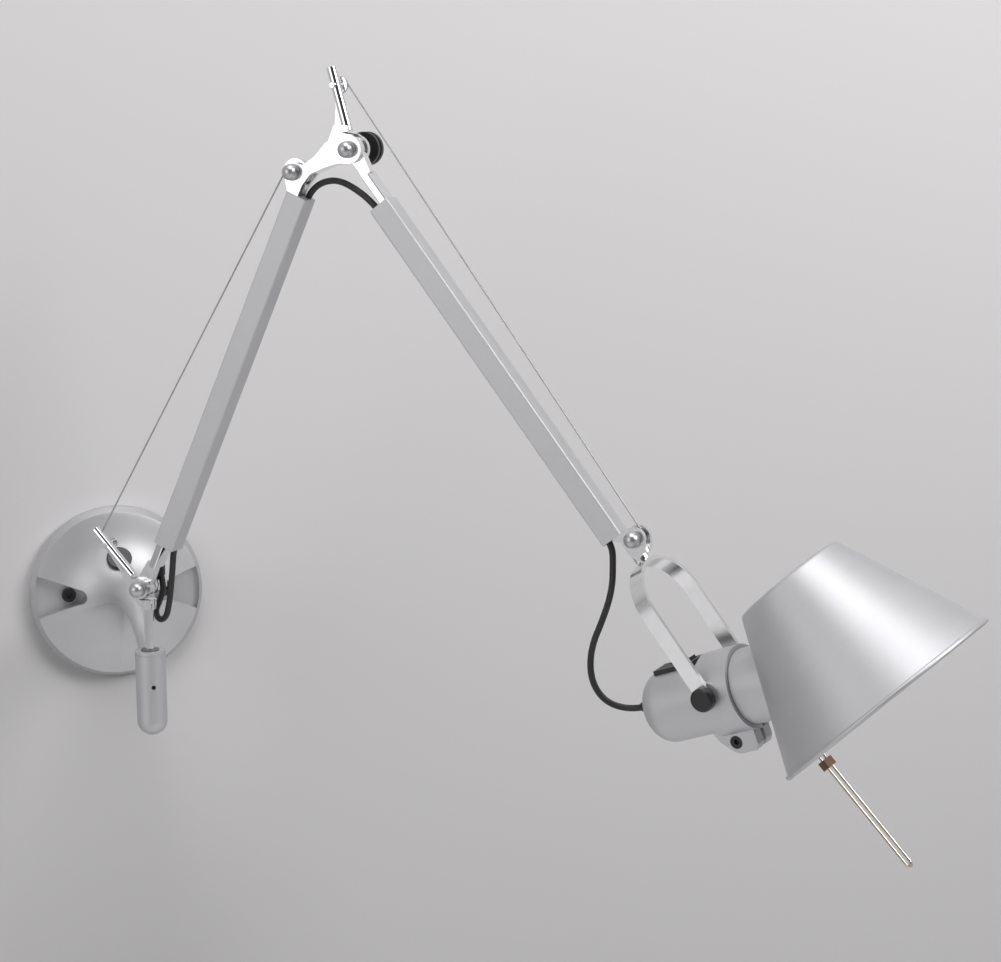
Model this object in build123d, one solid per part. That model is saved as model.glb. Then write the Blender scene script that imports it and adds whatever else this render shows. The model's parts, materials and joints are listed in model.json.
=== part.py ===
from build123d import *
from math import asin, atan2, cos, hypot, radians, sin, tan
import os

os.makedirs("parts", exist_ok=True)

# Lamp frame: origin in the middle of the wall face, +Z up, -Y away from the wall.
# Arm frame: x outwards in the plane of the arms, y from the near side to the far
# side, z up along the swivel pin. Points of the arms are given as (x, z).

# wall casting
disc_radius = 57.5
face_radius = 54.3
face_depth = 8.1
disc_corner = 2.4
# sections of the horn: part of the way to the swivel pin, radius, height, hollow of the sides
horn_sections = [
    (0.024, 40.0, 0.0, 0.02), (0.052, 30.0, 0.2, 0.07), (0.090, 22.0, 0.6, 0.14),
    (0.138, 15.6, 1.2, 0.2), (0.200, 10.8, 2.2, 0.26), (0.285, 7.9, 3.4, 0.3), (0.400, 6.5, 3.9, 0.3),
    (0.555, 5.8, 2.6, 0.3), (0.709, 5.4, -2.2, 0.3), (0.840, 5.2, -9.0, 0.3), (0.948, 5.2, -16.8, 0.3),
]
horn_edge_angle = 20.0
reach = 137.73
socket_radius = 9.4
socket_top = -11.5
socket_straight_end = -55.4
socket_groove_depth = 0.35
pocket_floor = 4.1
pocket_half_height = 16.2
pocket_tip_x = 27.2
pocket_tip_radius = 5.2
screw_spacing = 64.4
screw_hole_radius = 2.4
screw_shank_radius = 2.1
screw_thread_radius = 1.8
screw_reach = 26.0
screw_point = 3.0
screw_head_radius = 4.6
screw_head_height = 2.6
screw_socket_radius = 2.0
plug_centre = (0.0, -18.8, 24.6)
plug_tilt = 40.7
plug_radius = 8.3
plug_thickness = 2.0
back_chamber_radius = 18.0
back_recess_radius = 50.0
back_recess_depth = 1.7
back_boss_radius = 6.5
back_depth = 20.0

# swivel pin and its bush
pin_radius = 3.0
pin_bore_radius = 2.2
pin_bottom = -52.0
pin_top = 18.0
running_gap = 0.05
bush_radius = 4.6
bush_flange_radius = 5.6
bush_flange_height = 0.9
bush_bottom = -49.0
socket_bore_radius = 5.0
set_screw_radius = 1.4
set_screw_z = -33.3

# arms
arm_turn = 40.42
lower_pivot = (-2.52, 27.89)
lower_pulley_centre = (110.3, 281.1)
elbow_pivot = (146.46, 293.94)
upper_pulley_centre = (319.13, 78.28)
tube_width = 13.4
tube_wall = 1.5
tube_corner = 0.9
lower_tube_start = (15.4, 55.2)
lower_tube_end = (112.5, 267.5)
upper_tube_start = (164.9, 262.6)
upper_tube_end = (306.1, 76.9)
cap_flange = 1.8
cap_plug_depth = 5.0
cap_play = 0.05
lead_radius = 1.9
lead_hole_radius = 2.1
lead_offset = 3.1
lower_lead_side = 1
upper_lead_side = -1
lead_hold = 3.0
rope_radius = 0.5
rope_hole_radius = 1.4
spring_radius = 2.4
spring_wire = 0.5
spring_length = 110.0
spring_top = 40.0
hook_depth = 11.0
hook_radius = 1.2
foot_bar_width = 12.0
foot_bar_thickness = 4.6
lower_foot_offset = 2.6
lower_foot_drop = 16.0
upper_foot_offset = 3.3
upper_foot_drop = 18.0

# joints: a tongue between two cheeks, a ball head on the near side
tongue_half = 3.0
cheek_inner = 3.2
cheek_outer = 6.3
pivot_radius = 2.5
ball_radius = 4.74
ball_centre = 9.2
ball_washer_radius = 5.0
ball_washer_height = 0.8
spacer_radius = 4.3
spacer_end = 13.6
elbow_knob_radius = 9.75
elbow_knob_width = 7.0
lower_nut_width = 9.0
lower_nut_height = 5.6
lower_pulley_radius = 7.2
upper_pulley_radius = 4.3
pulley_flange = 0.6
pulley_half_width = 2.6
pulley_pin_radius = 1.8

# levers
lever_radius = 2.9
lever_web_half = 1.6
lower_lever_foot = (-10.5, 34.7)
lower_lever_tip = (-36.18, 61.84)
upper_lever_foot = (143.5, 304.8)
upper_lever_tip = (133.66, 340.58)
anchor_radius = 1.5
anchor_half = 8.0
anchor_head_radius = 3.0
anchor_head_height = 1.3
lower_anchor = (-28.0, 53.2)
upper_anchor = (136.42, 330.5)
rope_disc_radius = 4.3
rope_disc_y = 5.4

collar_radius = 4.5
collar_bottom = 14.5
collar_top = 20.5

# head fork
fork_apex = (323.7, 64.1)
fork_angle = -53.6
fork_swing = 11.1
fork_spread = 51.2
fork_length = 80.7
band_width = 9.4
band_thickness = 2.5
stem_radius = 2.5
stem_length = 7.4
stem_ring_radius = 3.1
stem_ring_height = 0.8
hub_radius = 4.6
hub_gap = 0.4
fork_cap_radius = 6.8
fork_cap_thickness = 5.0
tilt_pin_radius = 2.5

# head frame: x along the tilt axis, y towards the shade, z down
head_tilt = 16.34
tilt_axis_y = -1.38
tilt_axis_z = -4.7
housing_radius = 21.0
housing_wall = 1.6
housing_rear = -52.5
housing_rounding = 13.0
housing_front = 10.0
clamp_radius = 24.0
clamp_rear = -9.0
clamp_front = 12.0
lug_half = 9.0
lug_slot_half = 1.5
lug_bottom = 34.0
boss_radius = 8.0
boss_end = 24.05
clamp_screw_y = -3.3
clamp_screw_z = 27.2
clamp_screw_radius = 2.1
clamp_screw_head = 3.6
switch_rear = -40.0
switch_front = -13.0
switch_half = 7.2
rocker_half = 4.6
rocker_length = 20.0
gland_z = -3.0
gland_radius = 6.8
gland_tip_radius = 2.6
gland_length = 7.5

# shade: a cone about its own axis, on a round neck that turns in the housing
neck_radius = 21.4
neck_inner_radius = 18.4
neck_sleeve_radius = 19.35
neck_rear = 12.3
sleeve_rear = 3.2
neck_lip_radius = 21.9
shade_on_neck = 79.6
shade_lean = 67.9
shade_small_z = -56.1
shade_small_radius = 32.6
shade_rim_z = 27.2
shade_rim_radius = 67.9
shade_wall = 1.2
shade_corner = 3.5
bead_radius = 1.5
hairpin_y = -55.0
hairpin_half = 2.65
hairpin_wire_radius = 0.9
hairpin_top = 2.0
hairpin_end = 105.4

low = (Align.CENTER, Align.CENTER, Align.MIN)
hanging = (Align.CENTER, Align.CENTER, Align.MAX)
arm_place = Location((0, -reach, 0), (0, 0, -arm_turn))


def bar(start, end, radius, inner=0.0):
    """Round bar, or tube, between two points."""
    along = Vector(*end) - Vector(*start)
    plane = Plane(origin=start, z_dir=along)
    shape = Cylinder(radius, along.length, align=low)
    if inner:
        shape -= Cylinder(inner, along.length, align=low)
    return plane * shape


def point_in(plane, x, y, z):
    """Point given in the frame of a plane."""
    return plane.from_local_coords(Vector(x, y, z))


def fork_plane():
    """Fork frame: origin on the crown, x across the prongs, z along them."""
    across = (sin(radians(fork_swing)), cos(radians(fork_swing)))
    along = Vector(cos(radians(fork_angle)), 0, sin(radians(fork_angle)))
    x_dir = Vector(-along.Z * across[0], across[1], along.X * across[0])
    plane = Plane(origin=(fork_apex[0], 0, fork_apex[1]), x_dir=x_dir, z_dir=along)
    return Plane(arm_place * plane.location)


head_plane = Plane(fork_plane().location * Pos(0, 0, fork_length) * Rot(head_tilt, 0, 0)
                   * Pos(0, -tilt_axis_y, -tilt_axis_z))


def pin_across(centre, radius, y_from, y_to, inner=0.0):
    """Round bar across the arms, at (x, z) in the arm frame."""
    return bar((centre[0], y_from, centre[1]), (centre[0], y_to, centre[1]), radius, inner)


def plate(outline, y_from, y_to):
    """Flat plate in the plane of the arms."""
    edge = Polyline(*[(x, y_from, z) for x, z in outline], close=True)
    return extrude(make_face(edge), amount=y_to - y_from, dir=(0, 1, 0))


def cheeks(outline, rounds, inner=cheek_inner, outer=cheek_outer):
    """Two plates, one each side of the ropes, with round ends at (centre, radius)."""
    shape = None
    for y_from, y_to in ((-outer, -inner), (inner, outer)):
        side = plate(outline, y_from, y_to)
        for centre, radius in rounds:
            side += pin_across(centre, radius, y_from, y_to)
        shape = side if shape is None else shape + side
    return shape


def point_along(start, end, distance):
    """Point at a distance from start towards end, in the plane of the arms."""
    length = hypot(end[0] - start[0], end[1] - start[1])
    part = distance / length
    return (start[0] + part * (end[0] - start[0]), start[1] + part * (end[1] - start[1]))


def tangent_point(outside, centre, radius, side):
    """Where a line from a point touches a circle, side +1 or -1."""
    away = hypot(outside[0] - centre[0], outside[1] - centre[1])
    turn = atan2(outside[1] - centre[1], outside[0] - centre[0]) + side * (radians(90) - asin(radius / away))
    return (centre[0] + radius * cos(turn), centre[1] + radius * sin(turn))


def ball_head(centre):
    """Ball head with a washer against the near cheek."""
    ball = Pos(centre[0], -ball_centre, centre[1]) * Sphere(ball_radius)
    front = pin_across(centre, ball_radius + 1, -ball_centre - ball_radius, -cheek_outer)
    washer = pin_across(centre, ball_washer_radius, -cheek_outer - ball_washer_height, -cheek_outer)
    return (ball & front) + washer


# ---------------------------------------------------------------- wall casting


def horn_ring(depth, radius, z, hollow):
    """Section of the horn: round above, two hollowed sides that meet in a keel below."""
    plane = Plane(origin=(0, -depth, z), x_dir=(1, 0, 0), z_dir=(0, -1, 0))
    edge_x = radius * cos(radians(horn_edge_angle))
    edge_z = -radius * sin(radians(horn_edge_angle))
    half_angle = radians(horn_edge_angle + 90) / 2
    pulled = radius * (1 - hollow)
    side_x = pulled * sin(half_angle)
    side_z = -pulled * cos(half_angle)
    outline = ThreePointArc((edge_x, edge_z), (0, radius), (-edge_x, edge_z))
    outline += ThreePointArc((-edge_x, edge_z), (-side_x, side_z), (0, -radius))
    outline += ThreePointArc((0, -radius), (side_x, side_z), (edge_x, edge_z))
    return plane * make_face(outline)


def horn():
    """Trumpet from the face of the plate to the socket."""
    rings = [horn_ring(face_depth, face_radius, 0, 0)]
    for share, radius, z, hollow in horn_sections:
        rings.append(horn_ring(face_depth + share * (reach - face_depth), radius, z, hollow))
    return loft(rings)


def wall_disc():
    edge = [(0, 0), (disc_radius, 0), (disc_radius, -disc_corner), (face_radius, -face_depth),
            (0, -face_depth)]
    disc = revolve(make_face(Polyline(*edge, close=True)), Axis.Y)
    rims = disc.edges().filter_by(GeomType.CIRCLE).filter_by(lambda e: abs(e.center().Y + disc_corner) < 0.1)
    return fillet(rims, 2.0)


def pocket(side):
    """V-shaped pocket round one wall screw, cut from the front."""
    tip_x = side * pocket_tip_x
    rim_x = side * (disc_radius + 4)
    spread = pocket_half_height * 1.09
    wedge = Polyline((tip_x, -pocket_floor, pocket_tip_radius), (rim_x, -pocket_floor, spread),
                     (rim_x, -pocket_floor, -spread), (tip_x, -pocket_floor, -pocket_tip_radius), close=True)
    cut = extrude(make_face(wedge), amount=60, dir=(0, -1, 0))
    tip = bar((tip_x, -pocket_floor, 0), (tip_x, -pocket_floor - 60, 0), pocket_tip_radius)
    rim_keep = bar((0, 0, 0), (0, -70, 0), face_radius + 0.4)
    return (cut + tip) & rim_keep


def socket():
    body = Pos(0, -reach, socket_straight_end) * Cylinder(
        socket_radius, socket_top - socket_straight_end, align=low)
    body += Pos(0, -reach, socket_straight_end) * Sphere(socket_radius)
    ring = Pos(0, -reach, socket_top - 2.4) * (
        Cylinder(socket_radius + 1, 0.5, align=low)
        - Cylinder(socket_radius - socket_groove_depth, 0.5, align=low))
    return body - ring


def back_chamber():
    """Hollow behind the plate for the wiring."""
    profile = [(0, 1), (back_recess_radius, 1), (back_recess_radius, -back_recess_depth),
               (back_chamber_radius, -back_recess_depth), (14.5, -11.0), (9.0, -back_depth),
               (0, -back_depth)]
    hollow = revolve(make_face(Polyline(*profile, close=True)), Axis.Y)
    for side in (-1, 1):
        x = side * screw_spacing / 2
        hollow -= bar((x, 1, 0), (x, -back_recess_depth, 0), back_boss_radius)
    return hollow


def plug_plane():
    tilt = radians(plug_tilt)
    return Plane(origin=plug_centre, x_dir=(1, 0, 0), z_dir=(0, -cos(tilt), sin(tilt)))


def wall_casting():
    shape = wall_disc() + horn() + socket()
    for side in (-1, 1):
        shape -= pocket(side)
        x = side * screw_spacing / 2
        shape -= bar((x, 1, 0), (x, -pocket_floor - 1, 0), screw_hole_radius)
    shape -= back_chamber()
    shape -= plug_plane() * Cylinder(plug_radius + 0.1, 20, align=low)
    shape -= plug_plane() * Pos(0, 0, -4) * Cylinder(4.1, 5, align=low)
    lower_bore = Cylinder(socket_bore_radius, bush_bottom - pin_bottom + 2, align=low)
    shape -= Pos(0, -reach, pin_bottom - 2) * lower_bore
    shape -= Pos(0, -reach, bush_bottom) * Cylinder(bush_radius, 60, align=low)
    shape -= bar((0, -reach, set_screw_z), (0, -reach - 12, set_screw_z), set_screw_radius)
    return shape


def wall_screws():
    shape = []
    for side in (-1, 1):
        x = side * screw_spacing / 2
        screw = bar((x, 0, 0), (x, -pocket_floor, 0), screw_shank_radius)
        screw += bar((x, 0, 0), (x, screw_reach, 0), screw_thread_radius)
        point = Cone(screw_thread_radius, 0.3, screw_point, align=low)
        screw += Pos(x, screw_reach, 0) * Rot(-90, 0, 0) * point
        screw += bar((x, -pocket_floor, 0), (x, -pocket_floor - screw_head_height, 0), screw_head_radius)
        recess = Plane(origin=(x, -pocket_floor - screw_head_height, 0), z_dir=(0, 1, 0))
        screw -= recess * extrude(RegularPolygon(screw_socket_radius, 6), 1.6)
        shape.append(screw)
    return Compound(shape)


def cover_plug():
    plug = Cylinder(plug_radius, plug_thickness, align=low)
    plug = fillet(plug.edges().group_by(Axis.Z)[-1], 0.7)
    stem = Pos(0, 0, -3.6) * Cylinder(4.0, 3.6, align=low)
    return plug_plane() * (plug + stem)


def socket_bush():
    body = Pos(0, -reach, bush_bottom) * Cylinder(bush_radius, socket_top - bush_bottom, align=low)
    body += Pos(0, -reach, socket_top) * Cylinder(bush_flange_radius, bush_flange_height, align=low)
    return body - Pos(0, -reach, bush_bottom) * Cylinder(pin_radius + running_gap, 60, align=low)


def set_screw():
    start = (0, -reach - bush_radius, set_screw_z)
    end = (0, -reach - socket_radius + 0.9, set_screw_z)
    screw = bar(start, end, set_screw_radius)
    return screw - bar((0, -reach - socket_radius + 2.2, set_screw_z), end, 0.7)


def terminal_block():
    """Block on the floor of the hollow behind the plate."""
    block = Pos(0, -back_depth + 2.5, 0) * Box(8, 5, 13)
    for z in (-4, 0, 4):
        block -= bar((-1.6, -back_depth + 5.1, z), (-1.6, -back_depth + 2.5, z), 1.1)
        block -= bar((1.6, -back_depth + 5.1, z), (1.6, -back_depth + 2.5, z), 1.1)
    return block


def bend_radii(points):
    """Radius of the arc at each corner: it takes 0.45 of the shorter run beside it."""
    radii = []
    for before, corner, after in zip(points, points[1:], points[2:]):
        run_in = Vector(*corner) - Vector(*before)
        run_out = Vector(*after) - Vector(*corner)
        half_turn = radians(run_in.get_angle(run_out)) / 2
        radii.append(0.45 * min(run_in.length, run_out.length) / tan(half_turn))
    return radii


def sweep_lead(points, radius):
    """Round cord along straight runs joined by arcs."""
    path = FilletPolyline(*points, radius=bend_radii(points))
    start = Plane(origin=path @ 0, z_dir=path % 0)
    return sweep(start * Circle(radius), path=path)


# ---------------------------------------------------------------- lower joint


def swivel_pin():
    shape = Pos(0, 0, pin_bottom) * Cylinder(pin_radius, pin_top - pin_bottom, align=low)
    return shape - Pos(0, 0, pin_bottom) * Cylinder(pin_bore_radius, pin_top - pin_bottom, align=low)


def swivel_bracket():
    side = [(-10.2, 24.9), (-7.6, 20.6), (-4.0, 21.8), (0.0, 22.4), (3.2, 27.0), (3.0, 32.4), (-2.5, 34.1),
            (-8.0, 33.9)]
    core = [(-15.5, 32.6), (-10.2, 24.9), (-7.0, 19.5), (-3.9, 14.5), (3.9, 14.5), (3.9, 18.6),
            (-3.5, 20.0), (-10.3, 25.3), (-9.9, 32.4), (-9.5, 34.0), (-14.5, 39.5)]
    web = [(-26.0, 47.5), (-19.6, 38.9), (-13.0, 28.9), (-9.9, 32.4), (-10.5, 34.7), (-27.9, 53.1)]
    shape = cheeks(side, [(lower_pivot, 6.2)])
    shape += plate(core, -cheek_inner, cheek_inner)
    shape += plate(web, -lever_web_half, lever_web_half)
    shape += Pos(0, 0, collar_bottom) * Cylinder(collar_radius, collar_top - collar_bottom, align=low)
    shape -= Cylinder(pin_radius, 2 * pin_top, align=(Align.CENTER, Align.CENTER, Align.CENTER))
    shape -= lower_lever(solid=True)
    shape -= pin_across(lower_pivot, pivot_radius, -cheek_outer, cheek_outer)
    shape -= pin_across(lower_anchor, anchor_radius, -anchor_half, anchor_half)
    return shape


def lower_lever(solid=False):
    rod = bar((lower_lever_foot[0], 0, lower_lever_foot[1]), (lower_lever_tip[0], 0, lower_lever_tip[1]),
              lever_radius)
    if solid:
        return rod
    return rod - pin_across(lower_anchor, anchor_radius, -anchor_half, anchor_half)


def upper_lever(solid=False):
    rod = bar((upper_lever_foot[0], 0, upper_lever_foot[1]), (upper_lever_tip[0], 0, upper_lever_tip[1]),
              lever_radius)
    if solid:
        return rod
    return rod - pin_across(upper_anchor, anchor_radius, -anchor_half, anchor_half)


def anchor_pin(centre):
    """Cross pin through a lever, with a round head on the far side."""
    pin = pin_across(centre, anchor_radius, -anchor_half + 3, anchor_half)
    return pin + pin_across(centre, anchor_head_radius, anchor_half - anchor_head_height, anchor_half)


def rope_disc():
    """Grooved disc that the upper rope leaves from."""
    half = 1.2
    disc = pin_across(upper_anchor, rope_disc_radius + 0.7, rope_disc_y - half, rope_disc_y + half)
    disc -= rope_groove(upper_anchor, rope_disc_radius, rope_disc_y)
    return disc - rope(upper_rope_start, upper_rope_bottom(), rope_disc_y, rope_radius + running_gap)


def lower_bolt():
    return ball_head(lower_pivot) + pin_across(lower_pivot, pivot_radius, -cheek_outer, spacer_end)


def lower_nut():
    spacer = pin_across(lower_pivot, spacer_radius, cheek_outer, spacer_end, pivot_radius)
    turn = Plane(origin=(lower_pivot[0], spacer_end, lower_pivot[1]), z_dir=(0, 1, 0))
    nut = turn * extrude(RegularPolygon(lower_nut_width / 2, 6, major_radius=False), lower_nut_height)
    return spacer + nut


def cable_hood():
    """Rounded guide on the far cheek that the base lead runs up into."""
    body = Pos(2.6, 10.2, 34.2) * Cylinder(3.4, 5.6, align=low)
    body += Pos(2.6, 10.2, 39.8) * Sphere(3.4)
    foot = plate([(-3.4, 32.4), (2.0, 30.4), (4.0, 34.4), (4.0, 38.5), (0.0, 38.5)], cheek_outer, 8.6)
    body += foot
    body -= sweep_lead(base_lead_points, lead_radius)
    return body - pin_across(lower_pivot, spacer_radius + 0.3, cheek_outer - 1, 2 * cheek_outer)


# ---------------------------------------------------------------- arms


def tube_plane(start, end):
    """Tube frame: x to the far side, y towards the rope, z along the tube."""
    along = (end[0] - start[0], 0, end[1] - start[1])
    return Plane(origin=(start[0], 0, start[1]), x_dir=(0, 1, 0), z_dir=along)


def tube_length(start, end):
    return hypot(end[0] - start[0], end[1] - start[1])


def arm_tube(start, end):
    length = tube_length(start, end) - 2 * cap_flange
    inner = tube_width - 2 * tube_wall
    section = RectangleRounded(tube_width, tube_width, tube_corner) - RectangleRounded(inner, inner, 0.3)
    return tube_plane(start, end) * Pos(0, 0, cap_flange) * extrude(section, length)


def end_caps(start, end, side, cuts):
    """Cap in each end of a tube, with holes for the lead, the rope and the foot rod."""
    plug_width = tube_width - 2 * (tube_wall + cap_play)
    cap = extrude(RectangleRounded(tube_width, tube_width, tube_corner), cap_flange)
    cap += Pos(0, 0, cap_flange) * extrude(RectangleRounded(plug_width, plug_width, 0.3), cap_plug_depth)
    cap -= Pos(side * lead_offset, -lead_offset, 0) * Cylinder(lead_hole_radius, 20, align=low)
    plane = tube_plane(start, end)
    far = Pos(0, 0, tube_length(start, end))
    other = far * mirror(cap, about=Plane.XY)
    shape = []
    for piece in (plane * cap, plane * other):
        for cut in cuts:
            piece -= cut
        shape.append(piece)
    return Compound(shape)


def tube_spring(start, end):
    """Spring sleeve between two tie rods, one to the rope and one to the cap."""
    length = tube_length(start, end)
    top = length - spring_top
    bottom = top - spring_length
    cap_end = cap_flange + cap_plug_depth
    shape = Pos(0, 0, bottom) * Cylinder(spring_radius, spring_length, align=low)
    shape -= Pos(0, 0, bottom + 1) * Cylinder(spring_radius - spring_wire, spring_length - 2, align=low)
    shape += Pos(0, 0, top) * Cylinder(hook_radius, spring_top - hook_depth, align=low)
    shape += Pos(0, 0, cap_end) * Cylinder(hook_radius, bottom - cap_end, align=low)
    return tube_plane(start, end) * shape


def lead_point(start, end, side, along):
    """Point on the lead inside a tube, on its far or near side, measured along the tube."""
    return point_in(tube_plane(start, end), side * lead_offset, -lead_offset, along)


def lower_lead_point(along):
    return lead_point(lower_tube_start, lower_tube_end, lower_lead_side, along)


def upper_lead_point(along):
    return lead_point(upper_tube_start, upper_tube_end, upper_lead_side, along)


def lower_tube_lead():
    last = tube_length(lower_tube_start, lower_tube_end) - lead_hold
    return bar(lower_lead_point(lead_hold), lower_lead_point(last), lead_radius)


def upper_tube_lead():
    last = tube_length(upper_tube_start, upper_tube_end) - lead_hold
    return bar(upper_lead_point(lead_hold), upper_lead_point(last), lead_radius)


def lower_tongue():
    limb = [(-7.5, 30.5), (0.5, 23.2), (7.7, 41.6), (2.4, 45.2)]
    shape = plate(limb, -tongue_half, tongue_half)
    shape += pin_across(lower_pivot, 5.8, -tongue_half, tongue_half)
    shape -= pin_across(lower_pivot, pivot_radius + running_gap, -5, 5)
    return shape - lower_foot_bar()


def foot_bar(start, end, offset, drop):
    """Flat bar from a tongue into the first cap of a tube."""
    length = drop + cap_flange - 0.3
    shape = Box(foot_bar_width, foot_bar_thickness, length, align=low)
    shape = fillet(shape.edges().filter_by(Axis.Z), 0.6)
    return tube_plane(start, end) * Pos(0, offset, -drop) * shape


def lower_foot_bar():
    return foot_bar(lower_tube_start, lower_tube_end, lower_foot_offset, lower_foot_drop)


def upper_foot_bar():
    return foot_bar(upper_tube_start, upper_tube_end, upper_foot_offset, upper_foot_drop)


def upper_tongue():
    limb = [(141.5, 289.5), (147.2, 286.4), (151.4, 281.6), (153.7, 277.4), (158.5, 281.2), (153.4, 293.0)]
    shape = plate(limb, -tongue_half, tongue_half)
    shape += pin_across(elbow_pivot, 7.0, -tongue_half, tongue_half)
    shape -= pin_across(elbow_pivot, pivot_radius + running_gap, -5, 5)
    return shape - upper_foot_bar()


def elbow_casting():
    side = [(136.8, 300.0), (131.9, 297.6), (124.8, 290.0), (116.8, 284.6), (110.3, 287.0), (104.5, 282.0),
            (106.4, 271.6), (106.7, 270.2), (113.2, 267.2), (116.3, 273.6), (121.9, 280.1), (131.5, 283.9),
            (138.4, 285.8), (146.5, 286.2), (153.0, 290.0), (153.5, 298.0), (148.0, 302.5), (141.0, 303.5)]
    core = [(119.8, 282.0), (121.9, 280.1), (131.5, 283.9), (137.2, 285.5), (136.6, 292.5), (138.2, 299.5),
            (141.0, 303.5), (145.6, 304.2), (144.2, 307.5), (136.0, 307.5), (131.9, 297.6), (124.8, 290.0),
            (119.8, 286.6)]
    web = [(136.0, 307.0), (137.0, 318.0), (135.4, 327.5), (137.2, 327.5), (143.2, 307.0)]
    shape = cheeks(side, [(lower_pulley_centre, 6.0), (elbow_pivot, 8.0)])
    shape += plate(core, -cheek_inner, cheek_inner)
    shape += plate(web, -lever_web_half, lever_web_half)
    shape -= upper_lever(solid=True)
    shape -= pin_across(elbow_pivot, pivot_radius, -cheek_outer, cheek_outer)
    shape -= pin_across(lower_pulley_centre, pulley_pin_radius, -cheek_outer, cheek_outer)
    return shape


def elbow_bolt():
    bolt = ball_head(elbow_pivot) + pin_across(elbow_pivot, pivot_radius, -cheek_outer, spacer_end + 3)
    return bolt + pin_across(elbow_pivot, spacer_radius, cheek_outer, spacer_end)


def elbow_knob():
    """Round clamping knob with turned rings in its outer face."""
    near = spacer_end + 0.02
    far = near + elbow_knob_width
    knob = pin_across(elbow_pivot, elbow_knob_radius, near, far)
    knob -= pin_across(elbow_pivot, elbow_knob_radius + 1, far - 4.4, far - 2.6, elbow_knob_radius - 1.2)
    knob -= pin_across(elbow_pivot, 7.2, far - 0.8, far + 1, 5.6)
    knob -= pin_across(elbow_pivot, 3.4, far - 1.2, far + 1)
    return knob - pin_across(elbow_pivot, pivot_radius + running_gap, near - 1, spacer_end + 3.1)


def rope_groove(centre, radius, y_middle=0.0):
    """Groove with a round floor, cut for a rope at a radius."""
    half = rope_radius + running_gap
    floor = Pos(centre[0], y_middle, centre[1]) * Rot(90, 0, 0) * Torus(radius, half)
    return floor + pin_across(centre, radius + 3, y_middle - half, y_middle + half, radius)


def pulley(centre, radius):
    wheel = pin_across(centre, radius + pulley_flange, -pulley_half_width, pulley_half_width)
    wheel -= rope_groove(centre, radius)
    return wheel - pin_across(centre, pulley_pin_radius + running_gap, -5, 5)


def pulley_pin(centre):
    return ball_head(centre) + pin_across(centre, pulley_pin_radius, -cheek_outer, cheek_outer + 1.2)


def lower_rope_top():
    return tangent_point(lower_rope_start, lower_pulley_centre, lower_pulley_radius, -1)


def upper_rope_bottom():
    return tangent_point(upper_rope_start, upper_pulley_centre, upper_pulley_radius, -1)


def rope(start, end, start_y=0.0, radius=rope_radius):
    return bar((start[0], start_y, start[1]), (end[0], 0, end[1]), radius)


lower_rope_start = point_along(lower_lever_foot, lower_lever_tip, 32.6)
upper_rope_start = tangent_point(upper_pulley_centre, upper_anchor, rope_disc_radius, 1)


def rope_wrap(centre, radius, start, end):
    """Rope on the pulley, from one touching point over the top to the other."""
    first = atan2(start[1] - centre[1], start[0] - centre[0])
    last = atan2(end[1] - centre[1], end[0] - centre[0])
    if last > first:
        last -= radians(360)
    middle = (first + last) / 2
    half_way = (centre[0] + radius * cos(middle), 0, centre[1] + radius * sin(middle))
    path = ThreePointArc((start[0], 0, start[1]), half_way, (end[0], 0, end[1]))
    section = Plane(origin=path @ 0, z_dir=path % 0) * Circle(rope_radius)
    return sweep(section, path=path)


def inner_rope(start, end, centre, radius, arrives):
    """Rope over the pulley at the end of a tube and down to the hook inside."""
    hook = point_in(tube_plane(start, end), 0, 0, tube_length(start, end) - hook_depth)
    leaves = tangent_point((hook.X, hook.Z), centre, radius, 1)
    over = rope_wrap(centre, radius, arrives, leaves)
    return over + bar((leaves[0], 0, leaves[1]), hook, rope_radius) - tube_spring(start, end)


def lower_rope_inner():
    return inner_rope(lower_tube_start, lower_tube_end, lower_pulley_centre, lower_pulley_radius, lower_rope_top())


def upper_rope_inner():
    return inner_rope(upper_tube_start, upper_tube_end, upper_pulley_centre, upper_pulley_radius,
                      upper_rope_bottom())


def rope_way(start, end, centre, radius):
    """Slanting hole in a cap for the rope that comes off a pulley."""
    hook = point_in(tube_plane(start, end), 0, 0, tube_length(start, end) - hook_depth + 2)
    leaves = tangent_point((hook.X, hook.Z), centre, radius, 1)
    return bar((leaves[0], 0, leaves[1]), hook, rope_hole_radius)


def lower_rope_way():
    return rope_way(lower_tube_start, lower_tube_end, lower_pulley_centre, lower_pulley_radius)


def upper_rope_way():
    return rope_way(upper_tube_start, upper_tube_end, upper_pulley_centre, upper_pulley_radius)


def end_fitting():
    side = [(303.5, 79.2), (308.6, 83.9), (318.6, 84.5), (325.3, 78.6), (325.4, 71.5), (322.0, 65.9),
            (316.9, 68.4), (311.2, 75.8), (306.6, 76.8)]
    shape = cheeks(side, [(upper_pulley_centre, 6.3)])
    hub_plane = Plane(origin=(fork_apex[0], 0, fork_apex[1]),
                      z_dir=(-cos(radians(fork_angle)), 0, -sin(radians(fork_angle))))
    hub_start = band_thickness / 2 + hub_gap
    hub = hub_plane * Pos(0, 0, hub_start) * Cylinder(hub_radius, stem_length - hub_start, align=low)
    shape += hub
    shape -= pin_across(upper_pulley_centre, upper_pulley_radius + 1.3, -cheek_inner, cheek_inner)
    shape -= hub_plane * Cylinder(stem_radius + running_gap, 2 * stem_length, align=low)
    end_face = tube_plane(upper_tube_end, point_along(upper_tube_end, upper_tube_start, -10))
    shape -= end_face * Box(40, 40, 12, align=(Align.CENTER, Align.CENTER, Align.MAX))
    return shape - pin_across(upper_pulley_centre, pulley_pin_radius, -cheek_outer, cheek_outer)


# ---------------------------------------------------------------- head fork


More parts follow.
